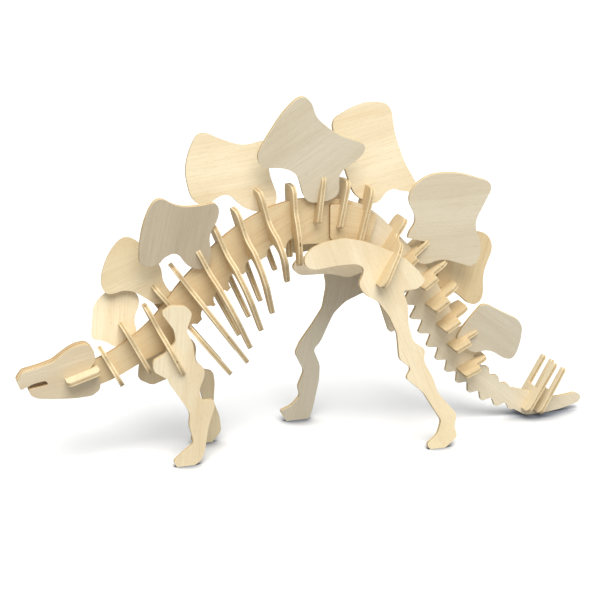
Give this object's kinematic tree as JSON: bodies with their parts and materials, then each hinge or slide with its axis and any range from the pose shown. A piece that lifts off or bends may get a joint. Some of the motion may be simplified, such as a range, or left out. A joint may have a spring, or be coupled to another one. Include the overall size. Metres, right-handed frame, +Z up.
{
  "type": "slot-together wooden dinosaur skeleton puzzle",
  "caption": "Plywood skeleton of a plated dinosaur on four legs, built from flat sheets that slot together, with back plates, legs and tail spikes that pull off.",
  "frame": {"origin": "on the ground under the middle of the model: halfway between nose and tail tip, in the plane of the spine", "axes": "+X from the head to the tail, +Y to the animal's right, +Z up; the feet stand on z = 0"},
  "size_m": [0.391, 0.0798, 0.2352],
  "materials": {
    "birch_plywood": "bare sanded birch plywood, cream faces with a slightly darker cut edge"
  },
  "bodies": {
    "skeleton": {"spine_body": "birch_plywood", "spine_tail": "birch_plywood", "hip_plate_left": "birch_plywood", "hip_plate_right": "birch_plywood", "skull_left": "birch_plywood", "skull_right": "birch_plywood", "cheek_plate": "birch_plywood", "cross_piece_01": "birch_plywood", "cross_piece_02": "birch_plywood", "cross_piece_03": "birch_plywood", "cross_piece_04": "birch_plywood", "cross_piece_05": "birch_plywood", "cross_piece_06": "birch_plywood", "cross_piece_07": "birch_plywood", "cross_piece_08": "birch_plywood", "cross_piece_09": "birch_plywood", "cross_piece_10": "birch_plywood", "cross_piece_11": "birch_plywood", "cross_piece_12": "birch_plywood", "cross_piece_13": "birch_plywood", "cross_piece_14": "birch_plywood", "cross_piece_15": "birch_plywood", "cross_piece_16": "birch_plywood", "cross_piece_17": "birch_plywood", "cross_piece_18": "birch_plywood", "cross_piece_19": "birch_plywood", "cross_piece_20": "birch_plywood"},
    "back_plate_1": {"back_plate_1": "birch_plywood"},
    "back_plate_2": {"back_plate_2": "birch_plywood"},
    "back_plate_3": {"back_plate_3": "birch_plywood"},
    "back_plate_4": {"back_plate_4": "birch_plywood"},
    "back_plate_5": {"back_plate_5": "birch_plywood"},
    "back_plate_6": {"back_plate_6": "birch_plywood"},
    "back_plate_7": {"back_plate_7": "birch_plywood"},
    "back_plate_8": {"back_plate_8": "birch_plywood"},
    "back_plate_9": {"back_plate_9": "birch_plywood"},
    "front_leg_left": {"front_leg_left": "birch_plywood"},
    "hind_leg_left": {"hind_leg_left": "birch_plywood"},
    "front_leg_right": {"front_leg_right": "birch_plywood"},
    "hind_leg_right": {"hind_leg_right": "birch_plywood"},
    "tail_spike_front": {"tail_spike_front": "birch_plywood"},
    "tail_spike_rear": {"tail_spike_rear": "birch_plywood"}
  },
  "joints": [
    {"name": "back_plate_1_slide", "type": "slide", "parent": "skeleton", "child": "back_plate_1", "axis": [-0.4318, 0.309, 0.8474], "range_m": [0, 0.0143]},
    {"name": "back_plate_2_slide", "type": "slide", "parent": "skeleton", "child": "back_plate_2", "axis": [-0.6063, 0.1736, 0.776], "range_m": [0, 0.0142]},
    {"name": "back_plate_3_slide", "type": "slide", "parent": "skeleton", "child": "back_plate_3", "axis": [-0.4317, -0.1736, 0.8851], "range_m": [0, 0.0167]},
    {"name": "back_plate_4_slide", "type": "slide", "parent": "skeleton", "child": "back_plate_4", "axis": [-0.2549, 0.1736, 0.9513], "range_m": [0, 0.0166]},
    {"name": "back_plate_5_slide", "type": "slide", "parent": "skeleton", "child": "back_plate_5", "axis": [0.12, -0.1736, 0.9775], "range_m": [0, 0.0193]},
    {"name": "back_plate_6_slide", "type": "slide", "parent": "skeleton", "child": "back_plate_6", "axis": [0.2382, 0.1736, 0.9556], "range_m": [0, 0.0113]},
    {"name": "back_plate_7_slide", "type": "slide", "parent": "skeleton", "child": "back_plate_7", "axis": [0.7544, -0.1736, 0.633], "range_m": [0, 0.0176]},
    {"name": "back_plate_8_slide", "type": "slide", "parent": "skeleton", "child": "back_plate_8", "axis": [0.8164, 0.1736, 0.5507], "range_m": [0, 0.0089]},
    {"name": "back_plate_9_slide", "type": "slide", "parent": "skeleton", "child": "back_plate_9", "axis": [0.8775, -0.1736, 0.4471], "range_m": [0, 0.0176]},
    {"name": "front_leg_left_slide", "type": "slide", "parent": "skeleton", "child": "front_leg_left", "axis": [0.4226, -0.0158, -0.9062], "range_m": [0, 0.0035]},
    {"name": "hind_leg_left_slide", "type": "slide", "parent": "skeleton", "child": "hind_leg_left", "axis": [-0.5698, -0.1144, -0.8138], "range_m": [0, 0.0232]},
    {"name": "front_leg_right_slide", "type": "slide", "parent": "skeleton", "child": "front_leg_right", "axis": [0.4226, 0.0158, -0.9062], "range_m": [0, 0.0035]},
    {"name": "hind_leg_right_slide", "type": "slide", "parent": "skeleton", "child": "hind_leg_right", "axis": [-0.5698, 0.1144, -0.8138], "range_m": [0, 0.0232]},
    {"name": "tail_spike_front_slide", "type": "slide", "parent": "skeleton", "child": "tail_spike_front", "axis": [0.5, 0, 0.866], "range_m": [0, 0.0135]},
    {"name": "tail_spike_rear_slide", "type": "slide", "parent": "skeleton", "child": "tail_spike_rear", "axis": [0.4695, 0, 0.8829], "range_m": [0, 0.0135]}
  ]
}
